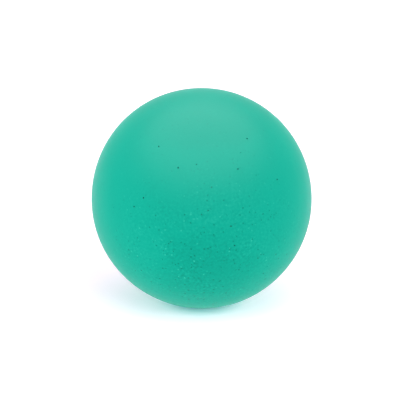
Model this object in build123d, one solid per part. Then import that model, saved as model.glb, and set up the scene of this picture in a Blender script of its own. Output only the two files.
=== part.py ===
from build123d import *

import math
import os
import random

# A soft foam dodgeball, centred on the origin, with +Z up and its photographed side towards -Y.
# It has three layers, each bonded to the next: a foam core, a base coat that closes the open
# cells of the foam, and a coloured skin whose burst bubbles show as pores.

# Layers, in millimetres
BALL_DIAMETER = 178.0
SKIN_THICKNESS = 1.2
BASE_COAT_THICKNESS = 0.3

# Width of each kind of pore at its mouth, and the skin that is left under it, in millimetres
WIDE_PORE = 1.2
MIDDLE_PORE = 0.9
SMALL_PORE = 0.7
SKIN_UNDER_PORE = 0.3

# Pores on the photographed side, as azimuth and latitude in degrees.
# Azimuth 0 is at -Y and grows towards +X.
WIDE_PLACES = [
    (-28, 40), (32, 44), (-13, 30), (20, 29), (43, 21), (-35, 9), (-30, 14), (14, 2), (16, -8),
]
MIDDLE_PLACES = [
    (-3, 32), (5, 21), (3, 10), (0, 8), (31, 6), (-15, -6), (-16, -7), (3, -9), (16, -16), (17, -18),
    (-4, -22), (18, -43),
]
SMALL_PLACES = [
    (24, 37), (30, 25), (-42, 11), (35, 7), (-49, 6), (39, 5), (16, 3), (1, 2), (-24, -7), (-19, -11),
    (-14, -11), (-3, -13), (4, -13), (13, -13), (25, -15), (-20, -16), (11, -16), (1, -18), (25, -19),
    (20, -19), (10, -20), (20, -21), (-34, -22), (38, -24), (15, -27), (-13, -27), (-26, -29),
    (0, -29), (-16, -34), (-20, -34), (-3, -39),
]

# Pores on the rest of the ball: how many of each kind, the draw's seed, and the angles in degrees
# that keep them off the photographed side and apart from each other
WIDE_SCATTERED = 14
MIDDLE_SCATTERED = 20
SMALL_SCATTERED = 44
SCATTER_SEED = 11
FRONT_LATITUDE = 16
FRONT_REACH = 75
PORE_SPACING = 4

# Radii of the surfaces where the layers meet
OUTER_RADIUS = BALL_DIAMETER / 2
COAT_RADIUS = OUTER_RADIUS - SKIN_THICKNESS
CORE_RADIUS = COAT_RADIUS - BASE_COAT_THICKNESS
PORE_DEPTH = SKIN_THICKNESS - SKIN_UNDER_PORE


def direction(place):
    """Unit vector from the ball's centre towards an azimuth and latitude."""
    azimuth = math.radians(place[0])
    latitude = math.radians(place[1])
    level = math.cos(latitude)
    return Vector(level * math.sin(azimuth), -level * math.cos(azimuth), math.sin(latitude))


def scattered_places(draw, count, taken):
    """Draw places away from the photographed side and the places already taken."""
    front = direction((0, FRONT_LATITUDE))
    places = []
    while len(places) < count:
        latitude = math.degrees(math.asin(draw.uniform(-1, 1)))
        place = (draw.uniform(-180, 180), latitude)
        heading = direction(place)
        near_front = heading.get_angle(front) < FRONT_REACH
        near_pore = any(heading.get_angle(direction(other)) < PORE_SPACING for other in taken + places)
        if not (near_front or near_pore):
            places.append(place)
    return places


def burst_bubble(place, mouth_width):
    """The round hollow of a bubble that opened at the skin's surface."""
    half_mouth = mouth_width / 2
    bubble_radius = (PORE_DEPTH ** 2 + half_mouth ** 2) / (2 * PORE_DEPTH)
    centre_radius = OUTER_RADIUS - PORE_DEPTH + bubble_radius
    heading = direction(place)
    return Plane(heading * centre_radius, z_dir=heading) * Sphere(bubble_radius)


def all_bubbles():
    """Every burst bubble of the skin, the photographed ones first."""
    draw = random.Random(SCATTER_SEED)
    taken = WIDE_PLACES + MIDDLE_PLACES + SMALL_PLACES
    kinds = [
        (WIDE_PLACES, WIDE_SCATTERED, WIDE_PORE),
        (MIDDLE_PLACES, MIDDLE_SCATTERED, MIDDLE_PORE),
        (SMALL_PLACES, SMALL_SCATTERED, SMALL_PORE),
    ]
    bubbles = []
    for seen_places, count, mouth_width in kinds:
        unseen_places = scattered_places(draw, count, taken)
        taken = taken + unseen_places
        bubbles += [burst_bubble(place, mouth_width) for place in seen_places + unseen_places]
    return bubbles


foam_core = Sphere(CORE_RADIUS)
base_coat = Sphere(COAT_RADIUS) - Sphere(CORE_RADIUS)
outer_skin = Sphere(OUTER_RADIUS) - Sphere(COAT_RADIUS) - all_bubbles()

os.makedirs("parts", exist_ok=True)
export_step(foam_core, "parts/foam_core.step")
export_step(base_coat, "parts/base_coat.step")
export_step(outer_skin, "parts/outer_skin.step")
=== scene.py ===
import math
import random

import bmesh
import bpy
import numpy as np
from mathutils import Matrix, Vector, geometry, kdtree


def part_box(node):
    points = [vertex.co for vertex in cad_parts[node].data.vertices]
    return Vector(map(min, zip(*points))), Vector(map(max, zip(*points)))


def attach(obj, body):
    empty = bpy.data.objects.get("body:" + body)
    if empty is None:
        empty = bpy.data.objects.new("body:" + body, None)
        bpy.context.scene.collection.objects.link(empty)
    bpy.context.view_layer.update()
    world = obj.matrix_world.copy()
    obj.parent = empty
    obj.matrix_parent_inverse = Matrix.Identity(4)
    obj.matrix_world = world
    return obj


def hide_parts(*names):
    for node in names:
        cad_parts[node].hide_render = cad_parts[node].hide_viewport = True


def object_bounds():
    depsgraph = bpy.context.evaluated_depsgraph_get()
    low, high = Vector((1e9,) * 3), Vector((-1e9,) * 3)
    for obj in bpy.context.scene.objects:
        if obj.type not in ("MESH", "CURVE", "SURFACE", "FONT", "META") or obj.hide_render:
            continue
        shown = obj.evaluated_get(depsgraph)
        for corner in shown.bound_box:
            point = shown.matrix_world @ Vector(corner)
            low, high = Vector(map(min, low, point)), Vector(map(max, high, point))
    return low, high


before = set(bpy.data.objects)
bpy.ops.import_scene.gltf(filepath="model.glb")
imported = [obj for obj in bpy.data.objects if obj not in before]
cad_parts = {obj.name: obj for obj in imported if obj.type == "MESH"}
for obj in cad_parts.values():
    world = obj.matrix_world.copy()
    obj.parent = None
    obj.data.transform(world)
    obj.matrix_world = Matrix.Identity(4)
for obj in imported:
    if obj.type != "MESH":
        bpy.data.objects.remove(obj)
cad_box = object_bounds()

# A soft foam dodgeball: a foam core, the base coat that seals it and a coloured skin with open pores.
# All lengths are in metres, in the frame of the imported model: centre at the origin, +Z up.
MM = 0.001


def node_radius(node):
    """Radius of a round node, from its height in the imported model."""
    low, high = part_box(node)
    return (high.z - low.z) / 2


BALL_RADIUS = node_radius("outer_skin")
COAT_RADIUS = node_radius("base_coat")
CORE_RADIUS = node_radius("foam_core")
SKIN_THICKNESS = BALL_RADIUS - COAT_RADIUS

# Pores as in the solids: mouth widths, the skin left under them, and azimuth and latitude in degrees
WIDE_PORE = 1.2 * MM
MIDDLE_PORE = 0.9 * MM
SMALL_PORE = 0.7 * MM
SKIN_UNDER_PORE = 0.3 * MM
WIDE_PLACES = [
    (-28, 40), (32, 44), (-13, 30), (20, 29), (43, 21), (-35, 9), (-30, 14), (14, 2), (16, -8),
]
MIDDLE_PLACES = [
    (-3, 32), (5, 21), (3, 10), (0, 8), (31, 6), (-15, -6), (-16, -7), (3, -9), (16, -16), (17, -18),
    (-4, -22), (18, -43),
]
SMALL_PLACES = [
    (24, 37), (30, 25), (-42, 11), (35, 7), (-49, 6), (39, 5), (16, 3), (1, 2), (-24, -7), (-19, -11),
    (-14, -11), (-3, -13), (4, -13), (13, -13), (25, -15), (-20, -16), (11, -16), (1, -18), (25, -19),
    (20, -19), (10, -20), (20, -21), (-34, -22), (38, -24), (15, -27), (-13, -27), (-26, -29),
    (0, -29), (-16, -34), (-20, -34), (-3, -39),
]

# Scattered pores, also as in the solids: how many of each kind, the draw's seed, and the angles in degrees
# that keep them off the photographed side, which the camera faces, and apart from each other
WIDE_SCATTERED = 14
MIDDLE_SCATTERED = 20
SMALL_SCATTERED = 44
SCATTER_SEED = 11
FRONT_LATITUDE = 16
FRONT_REACH = 75
PORE_SPACING = 4

# Middles of the skin's grainy patches: the photographed one, low on the front, and two on the back
GRAINY_PLACES = [(3, -25), (122, -12), (-120, 5)]

# Pinholes, finer than the solids hold: width and depth, how many each grainy patch has and within how many
# degrees of its middle, how many lie anywhere, how many degrees apart they are, and the draw's seed
PINHOLE = 0.5 * MM
PINHOLE_DEPTH = 0.4 * MM
PATCH_PINHOLES = 75
PATCH_REACH = 33
OTHER_PINHOLES = 90
PINHOLE_SPACING = 1.5
PINHOLE_SEED = 23

# A pore's shape, in shares of the way from its middle to its mouth's edge: where its wall starts and ends,
# its lip's place and width, the lip's height in metres, and how far out the skin is pressed at all
WALL_START = 0.5
WALL_END = 1.1
LIP_PLACE = 1.25
LIP_WIDTH = 0.25
LIP_HEIGHT = 0.03 * MM
PRESS_REACH = 3

# How far a mouth strays from round, in shares of half its width, by the number of lobes
MOUTH_LOBES = {2: 0.16, 3: 0.1}
MOUTH_SEED = 23

# Painted shade inside a pore: between which shares of the way to its mouth's edge it ends, and the width of
# mouth below which it is less dark
PORE_SHADE_EDGE = (0.75, 1.15)
PORE_SHADE_MOUTH = 1.2 * MM

# Rings of mesh points around a pore: the share of the way to the mouth's edge and the number of points
PORE_RINGS = [(0.3, 6), (0.55, 10), (0.75, 14), (0.95, 16), (1.1, 16), (1.25, 16), (1.5, 14), (1.8, 12)]
PINHOLE_RINGS = [(0.5, 6), (0.8, 9), (1.1, 10), (1.5, 9)]

# Beyond a pore's rings, how far faces are remade and points are cleared away, in edges of the mesh
REMADE_MARGIN = 0.8
CLEARED_MARGIN = 0.35

# The triangulation's choice of faces within a border, and its tolerance in millimetres
WITHIN_BORDER = 1
SAME_POINT = 1e-5

# Gentle unevenness of a moulded soft ball: wavelength range, height and number of waves
ROUNDNESS_WAVES = (100 * MM, 220 * MM, 0.10 * MM, 10)
PEEL_WAVES = (6 * MM, 12 * MM, 0.006 * MM, 40)
ROUNDNESS_SEED = 5
PEEL_SEED = 6

# Mesh finenesses: 1 is an icosahedron, and each step halves its edges
SKIN_LEVEL = 7
COAT_LEVEL = 6
INNER_LEVEL = 5

# The UV map: squares in each row and column, the share of its square that a side of the cube fills, and the
# row and the width of the inner faces' squares
MAP_SQUARES = 3
SQUARE_SHARE = 0.94
INNER_ROW = 2
INNER_WIDTH = 0.5

# Open cells on the core's surface: their usual width, their depth and the draw's seed
CELL_WIDTH = 3.2 * MM
CELL_DEPTH = 0.4 * MM
CELL_SEED = 31

# Colours of the skin from dark to light, and the painted shade inside a pore
SKIN_DARK = (0.0, 0.28, 0.2)
SKIN_PLAIN = (0.002, 0.47, 0.34)
SKIN_LIGHT = (0.03, 0.6, 0.46)
SKIN_PORE_SHADE = (0.001, 0.17, 0.125)

# The skin's tone, from 0 for dark to 1 for light, where it is plain, and the grain and blotches that shift
# it: how often they change in a metre, their finer detail and how far they shift the tone
PLAIN_TONE = 0.5
GRAIN_SCALE = 560
GRAIN_DETAIL = 2
GRAIN_SHIFT = 0.65
BLOTCH_SCALE = 26
BLOTCH_DETAIL = 2
BLOTCH_SHIFT = 0.2

# Flecks: their cells in a metre, the share of cells with a dark or a light one, how far it shifts the tone,
# its edge in cell widths, and how often in a metre and how far that edge strays
FLECK_SCALE = 420
DARK_FLECKS = 0.13
LIGHT_FLECKS = 0.09
DARK_SHIFT = 0.6
LIGHT_SHIFT = 0.42
FLECK_EDGE = (0.18, 0.36)
FLECK_STRAYS = 900
FLECK_STRAY = 1.6 * MM

# The texture fades between these two nearnesses to a grainy patch's middle, cosines of the angle from it,
# and this share of it is left far from all of them. It also comes in clumps: how often they change in a
# metre, their finer detail, and the texture's share between clumps and in them
TEXTURE_FADE = (0.5, 1.02)
FAR_TEXTURE = 0.14
CLUMP_SCALE = 70
CLUMP_DETAIL = 1
CLUMP_SHARES = (0.5, 1.5)

# Painted shade in each grainy patch, standing in for the shade on the ball's low front: how much lower its
# tone is in its middle, and the nearnesses at which that starts and is full
PATCH_PAINTED_SHADE = 0.1
PAINTED_SHADE_FADE = (0.88, 1.0)

# Finish of the skin: roughness from dark to light tone, what a pore adds to it, gloss, sheen and relief
SKIN_ROUGHNESS = (0.42, 0.54)
PORE_ROUGHNESS = 0.5
SKIN_SPECULAR = 0.05
SKIN_SHEEN = 0.16
SHEEN_ROUGHNESS = 0.3
SKIN_RELIEF = {"Strength": 0.3, "Distance": 0.3 * MM}

# Finish of the base coat: its streaks in a metre and their finer detail, colours, roughness and relief
COAT_STREAKS = 90
COAT_DETAIL = 4
COAT_DARK = (0.52, 0.54, 0.49)
COAT_LIGHT = (0.68, 0.69, 0.63)
COAT_ROUGHNESS = (0.35, 0.5)
COAT_RELIEF = {"Strength": 0.2, "Distance": 0.2 * MM}

# Finish of the foam core: its fine walls in a metre and their finer detail, colours with the painted shade
# inside its cells, roughness and relief
CORE_WALLS = 420
CORE_DETAIL = 3
CORE_DARK = (0.62, 0.55, 0.40)
CORE_LIGHT = (0.78, 0.72, 0.56)
CORE_CELL_SHADE = (0.34, 0.29, 0.19)
CORE_ROUGHNESS = (0.8, 1.0)
CORE_RELIEF = {"Strength": 0.5, "Distance": 0.4 * MM}

# A smooth noise's average, and where it counts as low and as high
NOISE_MIDDLE = 0.5
NOISE_LIMITS = (0.3, 0.7)

# The white floor: half its width in metres, and its colour as it lights the ball, as it shows, and as it
# shows near the contact, where the ball's green bounce light is painted on it. That painted bounce fades out
# between two distances from the contact, in ball radii, and the even light that the floor gives back to the
# ball rises between two more
FLOOR_HALF_WIDTH = 6.0
FLOOR_WHITE = (0.3, 0.3, 0.3, 1)
FLOOR_SHOWN = (1.27, 1.08, 1.21, 1)
FLOOR_PAINTED_BOUNCE = (0.6, 1.0, 1.12, 1)
PAINTED_BOUNCE_REACH = (0.14, 0.42)
FLOOR_GLOW = 0.68
GLOW_REACH = (0.1, 0.32)

# The white surroundings: their strength as they light the ball
WORLD_LIGHT = 0.58

# The photograph's frame: its width, and the ball's centre and radius in it, in pixels, then the lens and the
# sensor of the camera in millimetres
PHOTO_WIDTH = 400
PHOTO_CENTRE = (201.1, 197.6)
PHOTO_RADIUS = 110.3
LENS_MM = 100
SENSOR_MM = 36


def direction(place):
    """Unit vector from the ball's centre towards an azimuth and latitude in degrees."""
    azimuth = math.radians(place[0])
    latitude = math.radians(place[1])
    level = math.cos(latitude)
    return Vector((level * math.sin(azimuth), -level * math.cos(azimuth), math.sin(latitude)))


def degrees_apart(first, second):
    """Angle between two headings."""
    return math.degrees(first.angle(second))


def unit(vectors):
    """Rows of an array, each scaled to length 1."""
    return vectors / np.linalg.norm(vectors, axis=1, keepdims=True)


def smooth_step(low, high, values):
    """0 below low, 1 above high, with a smooth rise between."""
    share = np.clip((values - low) / (high - low), 0, 1)
    return share * share * (3 - 2 * share)


class Pore:
    """A burst bubble of the skin, with an uneven mouth."""

    def __init__(self, place, mouth_width, depth, rings, draw):
        heading = direction(place)
        self.axis = np.array(heading)
        self.side = np.array(heading.orthogonal().normalized())
        self.across = np.cross(self.axis, self.side)
        self.mouth_width = mouth_width
        self.depth = depth
        self.rings = rings
        self.phases = [draw.uniform(0, 2 * math.pi) for _ in MOUTH_LOBES]
        self.ring_reach = rings[-1][0] * mouth_width / 2 * (1 + sum(MOUTH_LOBES.values()))

    def mouth(self, turn):
        """Distance from the middle to the mouth's edge, for turns about the axis."""
        lobes = zip(MOUTH_LOBES.items(), self.phases)
        stray = sum(share * np.sin(count * turn + phase) for (count, share), phase in lobes)
        return self.mouth_width / 2 * (1 + stray)

    def shares(self, points):
        """Distance of a unit sphere's points from the middle, in shares of the way to the mouth's edge."""
        x = points @ self.side * BALL_RADIUS
        y = points @ self.across * BALL_RADIUS
        return np.hypot(x, y) / self.mouth(np.arctan2(y, x))

    def ring_points(self):
        """Points of a unit sphere on the rings, and one in the middle."""
        points = [self.axis]
        for share, count in self.rings:
            turn = 2 * math.pi * np.arange(count) / count
            reach = share * self.mouth(turn) / BALL_RADIUS
            offset = np.outer(np.cos(turn) * reach, self.side) + np.outer(np.sin(turn) * reach, self.across)
            points.append(self.axis + offset)
        return unit(np.vstack(points))


def scattered_places(draw, count, taken, spacing, allowed):
    """Draw places with an allowed heading, apart from each other and from those already taken."""
    headings = [direction(place) for place in taken]
    places = []
    while len(places) < count:
        latitude = math.degrees(math.asin(draw.uniform(-1, 1)))
        place = (draw.uniform(-180, 180), latitude)
        heading = direction(place)
        crowded = any(degrees_apart(heading, other) < spacing for other in headings)
        if allowed(heading) and not crowded:
            places.append(place)
            headings.append(heading)
    return places


def within(middle, reach):
    """A test of whether a heading is within some degrees of a place."""
    return lambda heading: degrees_apart(heading, direction(middle)) < reach


def off_front(heading):
    """Whether a heading is off the photographed side."""
    return not within((0, FRONT_LATITUDE), FRONT_REACH)(heading)


def anywhere(heading):
    """Any heading will do."""
    return True


def pinhole_places(taken):
    """Places of the pinholes: some anywhere, then more in each grainy patch."""
    draw = random.Random(PINHOLE_SEED)
    places = scattered_places(draw, OTHER_PINHOLES, taken, PINHOLE_SPACING, anywhere)
    for middle in GRAINY_PLACES:
        in_patch = within(middle, PATCH_REACH)
        places += scattered_places(draw, PATCH_PINHOLES, taken + places, PINHOLE_SPACING, in_patch)
    return places


def all_pores():
    """Every pore and pinhole of the skin."""
    draw = random.Random(SCATTER_SEED)
    mouth_draw = random.Random(MOUTH_SEED)
    depth = SKIN_THICKNESS - SKIN_UNDER_PORE
    taken = WIDE_PLACES + MIDDLE_PLACES + SMALL_PLACES
    kinds = [
        (WIDE_PLACES, WIDE_SCATTERED, WIDE_PORE),
        (MIDDLE_PLACES, MIDDLE_SCATTERED, MIDDLE_PORE),
        (SMALL_PLACES, SMALL_SCATTERED, SMALL_PORE),
    ]
    pores = []
    for seen_places, count, mouth_width in kinds:
        unseen_places = scattered_places(draw, count, taken, PORE_SPACING, off_front)
        taken = taken + unseen_places
        for place in seen_places + unseen_places:
            pores.append(Pore(place, mouth_width, depth, PORE_RINGS, mouth_draw))
    for place in pinhole_places(taken):
        pores.append(Pore(place, PINHOLE, PINHOLE_DEPTH, PINHOLE_RINGS, mouth_draw))
    return pores


def ico_sphere(level):
    """Points and triangles of a unit sphere."""
    bm = bmesh.new()
    bmesh.ops.create_icosphere(bm, subdivisions=level, radius=1)
    points = np.array([vertex.co[:] for vertex in bm.verts])
    faces = np.array([[vertex.index for vertex in face.verts] for face in bm.faces])
    bm.free()
    return unit(points), faces


def mark_patches(points, faces, edge, pores):
    """Patch number of each face, or -1, and of each pore. Pores that remake the same faces share a patch."""
    centres = unit(points[faces].mean(axis=1))
    face_patch = np.full(len(faces), -1)
    pore_patch = np.arange(len(pores))
    for number, pore in enumerate(pores):
        reach = pore.ring_reach / BALL_RADIUS + edge * REMADE_MARGIN
        remade = centres @ pore.axis > math.cos(reach)
        shared = np.setdiff1d(face_patch[remade], [-1])
        face_patch[remade | np.isin(face_patch, shared)] = number
        pore_patch[np.isin(pore_patch, shared)] = number
    return face_patch, pore_patch


def border_edges(faces):
    """Edges that belong to only one of some faces."""
    pairs = np.stack([faces, np.roll(faces, -1, axis=1)], axis=2).reshape(-1, 2)
    edges, counts = np.unique(np.sort(pairs, axis=1), axis=0, return_counts=True)
    return edges[counts == 1]


def fill_patch(points, border):
    """Triangles that join all the points of a small patch of a unit sphere, within its border."""
    outward = Vector(points.mean(axis=0)).normalized()
    side = outward.orthogonal().normalized()
    level = points / (points @ np.array(outward))[:, None] * BALL_RADIUS / MM
    flat = level @ np.array([side, outward.cross(side)]).T
    places = [Vector(place) for place in flat]
    result = geometry.delaunay_2d_cdt(places, border.tolist(), [], WITHIN_BORDER, SAME_POINT)
    faces, sources = result[2], result[3]
    return np.array([[sources[corner][0] for corner in face] for face in faces])


def sphere_with_pores(level, pores):
    """A unit sphere whose faces around each pore are remade to hold the pore's rings."""
    points, faces = ico_sphere(level)
    edge = np.linalg.norm(points[faces[0, 0]] - points[faces[0, 1]])
    face_patch, pore_patch = mark_patches(points, faces, edge, pores)
    all_points = points
    all_faces = [faces[face_patch < 0]]
    for patch in np.unique(pore_patch):
        members = [pore for pore, number in zip(pores, pore_patch) if number == patch]
        old_faces = faces[face_patch == patch]
        border = border_edges(old_faces)
        corners = np.unique(old_faces)
        crowded = np.zeros(len(corners), bool)
        for pore in members:
            reach = pore.ring_reach / BALL_RADIUS + edge * CLEARED_MARGIN
            crowded |= points[corners] @ pore.axis > math.cos(reach)
        kept = corners[~crowded | np.isin(corners, border)]
        rings = np.vstack([pore.ring_points() for pore in members])
        indices = np.append(kept, len(all_points) + np.arange(len(rings)))
        all_points = np.vstack([all_points, rings])
        all_faces.append(indices[fill_patch(all_points[indices], np.searchsorted(kept, border))])
    used, all_faces = np.unique(np.vstack(all_faces), return_inverse=True)
    return all_points[used], all_faces.reshape(-1, 3)


def wave_heights(points, waves, seed):
    """Smooth random heights on a unit sphere's points: a sum of plane waves."""
    shortest, longest, height, count = waves
    draw = np.random.default_rng(seed)
    total = np.zeros(len(points))
    for _ in range(count):
        heading = draw.normal(size=3)
        heading /= np.linalg.norm(heading)
        turns = BALL_RADIUS / draw.uniform(shortest, longest)
        phase = draw.uniform(0, 2 * math.pi)
        total += np.sin(2 * math.pi * turns * (points @ heading) + phase)
    return total * height / math.sqrt(count / 2)


def press_pores(points, pores):
    """Height and painted pore shade of a unit sphere's points, with a pit and a low lip for each pore."""
    heights = np.zeros(len(points))
    pore_shade = np.zeros(len(points))
    for pore in pores:
        reach = PRESS_REACH * pore.mouth_width / 2 / BALL_RADIUS
        around = np.flatnonzero(points @ pore.axis > math.cos(reach))
        share = pore.shares(points[around])
        pit = 1 - smooth_step(WALL_START, WALL_END, share)
        lip = np.exp(-((share - LIP_PLACE) / LIP_WIDTH) ** 2)
        heights[around] += LIP_HEIGHT * lip - pore.depth * pit
        # painted shade inside the pit, weaker for narrow mouths
        dark = min(1, pore.mouth_width / PORE_SHADE_MOUTH) * (1 - smooth_step(*PORE_SHADE_EDGE, share))
        pore_shade[around] = np.maximum(pore_shade[around], dark)
    return heights, pore_shade


def cube_map(points, faces, inner_from):
    """UV places of a sphere's face corners: the six sides of a cube in two rows, inner faces in a third."""
    centres = points[faces].mean(axis=1)
    axis = np.abs(centres).argmax(axis=1)
    rows = np.arange(len(faces))
    side = axis * 2 + (centres[rows, axis] < 0)
    corners = points[faces]
    along = corners[rows[:, None], np.arange(3), axis[:, None]]
    u = corners[rows[:, None], np.arange(3), ((axis + 1) % 3)[:, None]] / np.abs(along)
    v = corners[rows[:, None], np.arange(3), ((axis + 2) % 3)[:, None]] / np.abs(along)
    square = np.stack([np.arctan(u), np.arctan(v)], axis=2) / (math.pi / 2) * SQUARE_SHARE + 0.5
    inner = rows >= inner_from
    square[inner, :, 0] *= INNER_WIDTH
    column = np.where(inner, side * INNER_WIDTH, side % MAP_SQUARES)
    row = np.where(inner, INNER_ROW, side // MAP_SQUARES)
    square[:, :, 0] += column[:, None]
    square[:, :, 1] += row[:, None]
    return square / MAP_SQUARES


def make_piece(name, points, faces, radii, inner_from, values):
    """A smooth mesh object from unit points and radii, with named values on its points and a UV map."""
    mesh = bpy.data.meshes.new(name)
    mesh.from_pydata(points * radii[:, None], [], faces)
    mesh.polygons.foreach_set("use_smooth", np.ones(len(faces), bool))
    for value_name, numbers in values.items():
        mesh.attributes.new(value_name, "FLOAT", "POINT").data.foreach_set("value", numbers)
    uv_map = mesh.uv_layers.new(name="OFBake")
    uv_map.uv.foreach_set("vector", cube_map(points, faces, inner_from).ravel())
    mesh.update()
    piece = bpy.data.objects.new(name, mesh)
    bpy.context.collection.objects.link(piece)
    return piece


def with_inner(points, faces, level):
    """Adds a plain inner sphere, turned inside out, and says where its points and faces start."""
    inner_points, inner_faces = ico_sphere(level)
    all_faces = np.vstack([faces, inner_faces[:, ::-1] + len(points)])
    return np.vstack([points, inner_points]), all_faces, len(points), len(faces)


def make_skin():
    """The coloured skin: a thin shell with pits, lips and a faint unevenness."""
    pores = all_pores()
    points, faces = sphere_with_pores(SKIN_LEVEL, pores)
    points, faces, inner_point, inner_face = with_inner(points, faces, INNER_LEVEL)
    radii = BALL_RADIUS + wave_heights(points, ROUNDNESS_WAVES, ROUNDNESS_SEED)
    heights, pore_shade = press_pores(points, pores)
    heights += wave_heights(points, PEEL_WAVES, PEEL_SEED)
    heights[inner_point:] = -SKIN_THICKNESS
    pore_shade[inner_point:] = 0
    return make_piece("skin", points, faces, radii + heights, inner_face, {"pore_shade": pore_shade})


def make_coat():
    """The base coat: a thinner shell just under the skin."""
    points, faces = ico_sphere(COAT_LEVEL)
    points, faces, inner_point, inner_face = with_inner(points, faces, COAT_LEVEL)
    radii = COAT_RADIUS + wave_heights(points, ROUNDNESS_WAVES, ROUNDNESS_SEED)
    radii[inner_point:] += CORE_RADIUS - COAT_RADIUS
    return make_piece("coat", points, faces, radii, inner_face, {})


def make_core():
    """The foam core, with the open cells that its cut surface shows."""
    points, faces = ico_sphere(SKIN_LEVEL)
    draw = np.random.default_rng(CELL_SEED)
    cell_count = int(4 * math.pi * (CORE_RADIUS / CELL_WIDTH) ** 2)
    seeds = unit(draw.normal(size=(cell_count, 3)))
    tree = kdtree.KDTree(cell_count)
    for index, seed in enumerate(seeds):
        tree.insert(seed, index)
    tree.balance()
    distance = np.array([tree.find(point)[2] for point in points]) * CORE_RADIUS
    # the cells' hollows, which also carry their painted shade
    cell = 1 - smooth_step(0, CELL_WIDTH / 2, distance)
    radii = CORE_RADIUS + wave_heights(points, ROUNDNESS_WAVES, ROUNDNESS_SEED) - CELL_DEPTH * cell
    return make_piece("core", points, faces, radii, len(faces), {"cell": cell})


class Nodes:
    """Short ways to build a node tree."""

    def __init__(self, tree):
        self.tree = tree
        tree.nodes.clear()

    def add(self, kind, inputs=None, **settings):
        """A node with its settings, input values and links."""
        node = self.tree.nodes.new(kind)
        for key, value in settings.items():
            setattr(node, key, value)
        for key, value in (inputs or {}).items():
            if isinstance(value, bpy.types.NodeSocket):
                self.tree.links.new(value, node.inputs[key])
            else:
                node.inputs[key].default_value = value
        return node

    def math(self, operation, first, second):
        """The result of a sum on two sockets or numbers."""
        return self.add("ShaderNodeMath", {0: first, 1: second}, operation=operation).outputs[0]

    def place(self):
        """Where a point is in its object's own frame."""
        return self.add("ShaderNodeTexCoord").outputs["Object"]

    def value(self, name):
        """A named value of the mesh's points."""
        return self.add("ShaderNodeAttribute", attribute_name=name).outputs["Fac"]

    def noise(self, place, scale, detail):
        """Smooth noise, as often in a metre as its scale."""
        node = self.add("ShaderNodeTexNoise", {"Vector": place, "Scale": scale, "Detail": detail})
        return node.outputs["Fac"]

    def ramp(self, value, stops, colours):
        """A colour for each value, blended between the stops' own colours."""
        node = self.add("ShaderNodeValToRGB", {"Fac": value})
        elements = node.color_ramp.elements
        while len(elements) < len(stops):
            elements.new(stops[1])
        for element, stop, colour in zip(elements, stops, colours):
            element.position = stop
            element.color = (*colour, 1)
        return node.outputs["Color"]

    def mix(self, share, first, second):
        """A share of the second colour over the first."""
        return self.add("ShaderNodeMix", {0: share, 6: first, 7: second}, data_type="RGBA").outputs[2]

    def spread(self, value, low, high, limits=(0, 1)):
        """A value between two limits spread from low to high."""
        start, end = limits
        inputs = {"Value": value, "From Min": start, "From Max": end, "To Min": low, "To Max": high}
        return self.add("ShaderNodeMapRange", inputs).outputs["Result"]

    def surface(self, colour, roughness, height, relief, **finish):
        """A surface with fine relief, as the material's result."""
        bump = self.add("ShaderNodeBump", {"Height": height, **relief}).outputs["Normal"]
        inputs = {"Base Color": colour, "Roughness": roughness, "Normal": bump}
        for name, value in finish.items():
            inputs[name.replace("_", " ")] = value
        shader = self.add("ShaderNodeBsdfPrincipled", inputs).outputs["BSDF"]
        self.add("ShaderNodeOutputMaterial", {"Surface": shader})


def new_material(name):
    """An empty node material."""
    material = bpy.data.materials.new(name)
    material.use_nodes = True
    return material, Nodes(material.node_tree)


def skin_flecks(nodes, place):
    """How far sparse light and dark flecks shift the tone of the skin."""
    stray = nodes.add("ShaderNodeTexNoise", {"Vector": place, "Scale": FLECK_STRAYS}).outputs["Color"]
    inputs = {0: stray, 1: (FLECK_STRAY,) * 3, 2: place}
    moved = nodes.add("ShaderNodeVectorMath", inputs, operation="MULTIPLY_ADD").outputs["Vector"]
    cells = nodes.add("ShaderNodeTexVoronoi", {"Vector": moved, "Scale": FLECK_SCALE}).outputs
    chance = nodes.add("ShaderNodeSeparateColor", {"Color": cells["Color"]}).outputs["Red"]
    dark = nodes.math("LESS_THAN", chance, DARK_FLECKS)
    light = nodes.math("GREATER_THAN", chance, 1 - LIGHT_FLECKS)
    darken = nodes.math("MULTIPLY", dark, DARK_SHIFT)
    lighten = nodes.math("MULTIPLY", light, LIGHT_SHIFT)
    spot = nodes.spread(cells["Distance"], 1, 0, FLECK_EDGE)
    return nodes.math("MULTIPLY", spot, nodes.math("SUBTRACT", lighten, darken))


def patch_nearness(nodes, place):
    """Cosine of the angle from the middle of the nearest grainy patch."""
    heading = nodes.add("ShaderNodeVectorMath", {0: place}, operation="NORMALIZE").outputs["Vector"]
    nearest = -1
    for middle in GRAINY_PLACES:
        inputs = {0: heading, 1: direction(middle)}
        nearness = nodes.add("ShaderNodeVectorMath", inputs, operation="DOT_PRODUCT").outputs["Value"]
        nearest = nodes.math("MAXIMUM", nearness, nearest)
    return nearest


def texture_strength(nodes, place, nearness):
    """Strength of the fine texture: full in a grainy patch's middle, faint far from them, and clumpy."""
    fade = nodes.spread(nearness, FAR_TEXTURE, 1, TEXTURE_FADE)
    clumps = nodes.spread(nodes.noise(place, CLUMP_SCALE, CLUMP_DETAIL), *CLUMP_SHARES, NOISE_LIMITS)
    return nodes.math("MULTIPLY", fade, clumps)


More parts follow.
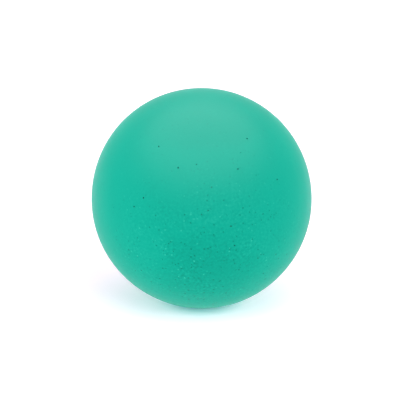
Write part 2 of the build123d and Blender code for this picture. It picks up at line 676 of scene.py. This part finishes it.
def skin_material():
    """Matte sea-green skin: fine grain and flecks, painted shade in the pores and in the grainy patches'
    middles, and a soft sheen.
    """
    material, nodes = new_material("skin_foam")
    place = nodes.place()
    grain = nodes.math("SUBTRACT", nodes.noise(place, GRAIN_SCALE, GRAIN_DETAIL), NOISE_MIDDLE)
    blotch = nodes.math("SUBTRACT", nodes.noise(place, BLOTCH_SCALE, BLOTCH_DETAIL), NOISE_MIDDLE)
    shift = nodes.math("MULTIPLY", grain, GRAIN_SHIFT)
    shift = nodes.math("ADD", shift, nodes.math("MULTIPLY", blotch, BLOTCH_SHIFT))
    shift = nodes.math("ADD", shift, skin_flecks(nodes, place))
    nearness = patch_nearness(nodes, place)
    shift = nodes.math("MULTIPLY", shift, texture_strength(nodes, place, nearness))
    # painted shade in the middle of each grainy patch
    shift = nodes.math("SUBTRACT", shift, nodes.spread(nearness, 0, PATCH_PAINTED_SHADE, PAINTED_SHADE_FADE))
    tone = nodes.math("ADD", shift, PLAIN_TONE)
    colour = nodes.ramp(tone, (0, PLAIN_TONE, 1), (SKIN_DARK, SKIN_PLAIN, SKIN_LIGHT))
    pore_shade = nodes.value("pore_shade")
    # painted shade inside the pores
    colour = nodes.mix(pore_shade, colour, (*SKIN_PORE_SHADE, 1))
    open_cells = nodes.math("MULTIPLY", pore_shade, PORE_ROUGHNESS)
    roughness = nodes.math("ADD", nodes.spread(tone, *SKIN_ROUGHNESS), open_cells)
    nodes.surface(
        colour, roughness, tone, SKIN_RELIEF,
        Specular_IOR_Level=SKIN_SPECULAR, Sheen_Weight=SKIN_SHEEN, Sheen_Roughness=SHEEN_ROUGHNESS,
    )
    return material


def coat_material():
    """Pale satin elastomer of the base coat."""
    material, nodes = new_material("coat_elastomer")
    streaks = nodes.noise(nodes.place(), COAT_STREAKS, COAT_DETAIL)
    colour = nodes.ramp(streaks, NOISE_LIMITS, (COAT_DARK, COAT_LIGHT))
    nodes.surface(colour, nodes.spread(streaks, *COAT_ROUGHNESS), streaks, COAT_RELIEF)
    return material


def core_material():
    """Cream open-cell foam, with painted shade inside its cells."""
    material, nodes = new_material("core_foam")
    walls = nodes.noise(nodes.place(), CORE_WALLS, CORE_DETAIL)
    colour = nodes.ramp(walls, NOISE_LIMITS, (CORE_DARK, CORE_LIGHT))
    # painted shade inside the cells
    colour = nodes.mix(nodes.value("cell"), colour, (*CORE_CELL_SHADE, 1))
    nodes.surface(colour, nodes.spread(walls, *CORE_ROUGHNESS), walls, CORE_RELIEF)
    return material


def background_rays(nodes):
    """1 for rays that show the background itself, 0 for rays that only light the object."""
    path = nodes.add("ShaderNodeLightPath").outputs
    seen = nodes.math("MAXIMUM", path["Is Camera Ray"], path["Is Glossy Ray"])
    return nodes.math("MAXIMUM", seen, path["Is Transmission Ray"])


def floor_material():
    """White paper that shows as white, with the ball's bounce light painted on it near the contact, and
    lights the ball evenly but not where the two touch.
    """
    material, nodes = new_material("white_floor")
    metres = nodes.add("ShaderNodeVectorMath", {0: nodes.place()}, operation="LENGTH").outputs["Value"]
    from_ball = nodes.math("DIVIDE", metres, BALL_RADIUS)
    # near the contact the ball's bounce light is painted into the paper's colour
    shown = nodes.mix(nodes.spread(from_ball, 0, 1, PAINTED_BOUNCE_REACH), FLOOR_PAINTED_BOUNCE, FLOOR_SHOWN)
    white = nodes.mix(background_rays(nodes), FLOOR_WHITE, shown)
    paper = nodes.add("ShaderNodeBsdfDiffuse", {"Color": white}).outputs["BSDF"]
    ring = nodes.spread(from_ball, 0, FLOOR_GLOW, GLOW_REACH)
    lighting = nodes.add("ShaderNodeLightPath").outputs["Is Diffuse Ray"]
    strength = nodes.math("MULTIPLY", lighting, ring)
    glow = nodes.add("ShaderNodeEmission", {"Strength": strength}).outputs["Emission"]
    both = nodes.add("ShaderNodeAddShader", {0: paper, 1: glow}).outputs["Shader"]
    nodes.add("ShaderNodeOutputMaterial", {"Surface": both})
    return material


def make_floor():
    """A white floor that keeps the ball's shadow."""
    reach = FLOOR_HALF_WIDTH
    mesh = bpy.data.meshes.new("floor")
    corners = [(-reach, -reach, 0), (reach, -reach, 0), (reach, reach, 0), (-reach, reach, 0)]
    mesh.from_pydata(corners, [], [(0, 1, 2, 3)])
    mesh.materials.append(floor_material())
    floor = bpy.data.objects.new("floor", mesh)
    floor.location.z = cad_box[0].z
    bpy.context.collection.objects.link(floor)
    return floor


def make_world():
    """White surroundings, dimmer where they only light the object."""
    world = bpy.data.worlds.new("studio")
    world.use_nodes = True
    nodes = Nodes(world.node_tree)
    strength = nodes.spread(background_rays(nodes), WORLD_LIGHT, 1)
    backdrop = nodes.add("ShaderNodeBackground", {"Color": (1, 1, 1, 1), "Strength": strength})
    nodes.add("ShaderNodeOutputWorld", {"Surface": backdrop.outputs["Background"]})
    bpy.context.scene.world = world


def make_lamp(name, place, softness, strength, highlight=False, only=None):
    """A far soft lamp at an azimuth and latitude, as wide as softness in degrees."""
    lamp = bpy.data.lights.new(name, "SUN")
    lamp.angle = math.radians(softness)
    lamp.energy = strength
    holder = bpy.data.objects.new(name, lamp)
    holder.rotation_euler = direction(place).to_track_quat("Z", "Y").to_euler()
    holder.visible_glossy = highlight
    holder.visible_diffuse = not highlight
    bpy.context.collection.objects.link(holder)
    if only:
        lit = bpy.data.collections.new(name + "_lights")
        lit.objects.link(only)
        holder.light_linking.receiver_collection = lit


def make_lamps(floor):
    """Soft lamps for the ball, one that only makes its highlight, and two for the floor's shadow."""
    make_lamp("top", place=(0, 70), softness=70, strength=0.4)
    make_lamp("left", place=(-70, 12), softness=60, strength=1.1)
    make_lamp("right", place=(90, 18), softness=60, strength=0.9)
    make_lamp("softbox", place=(0, 79), softness=100, strength=20.5, highlight=True)
    make_lamp("floor_left", place=(-45, 10), softness=60, strength=2.1, only=floor)
    make_lamp("floor_right", place=(45, 10), softness=60, strength=3.9, only=floor)


def make_camera():
    """The photograph's camera: the ball's outline lands on the same pixels."""
    focal_pixels = PHOTO_WIDTH * LENS_MM / SENSOR_MM
    distance = math.hypot(focal_pixels * BALL_RADIUS / PHOTO_RADIUS, BALL_RADIUS)
    away = direction((0, FRONT_LATITUDE))
    lens = bpy.data.cameras.new("camera")
    lens.lens = LENS_MM
    lens.sensor_width = SENSOR_MM
    holder = bpy.data.objects.new("camera", lens)
    holder.rotation_euler = away.to_track_quat("Z", "Y").to_euler()
    right = holder.rotation_euler.to_matrix() @ Vector((1, 0, 0))
    up = holder.rotation_euler.to_matrix() @ Vector((0, 1, 0))
    metres_per_pixel = distance / focal_pixels
    middle = (PHOTO_WIDTH - 1) / 2
    across = (middle - PHOTO_CENTRE[0]) * metres_per_pixel
    upward = (PHOTO_CENTRE[1] - middle) * metres_per_pixel
    holder.location = away * distance + right * across + up * upward
    bpy.context.collection.objects.link(holder)
    bpy.context.scene.camera = holder


def dress(piece, material, node):
    """Gives a piece its material and ties it to the node that it stands for."""
    piece.data.materials.append(material)
    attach(piece, "root")
    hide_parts(node)


skin = make_skin()
coat = make_coat()
core = make_core()
dress(skin, skin_material(), "outer_skin")
dress(coat, coat_material(), "base_coat")
dress(core, core_material(), "foam_core")

make_lamps(make_floor())
make_world()
make_camera()
bpy.context.scene.view_settings.view_transform = "Standard"
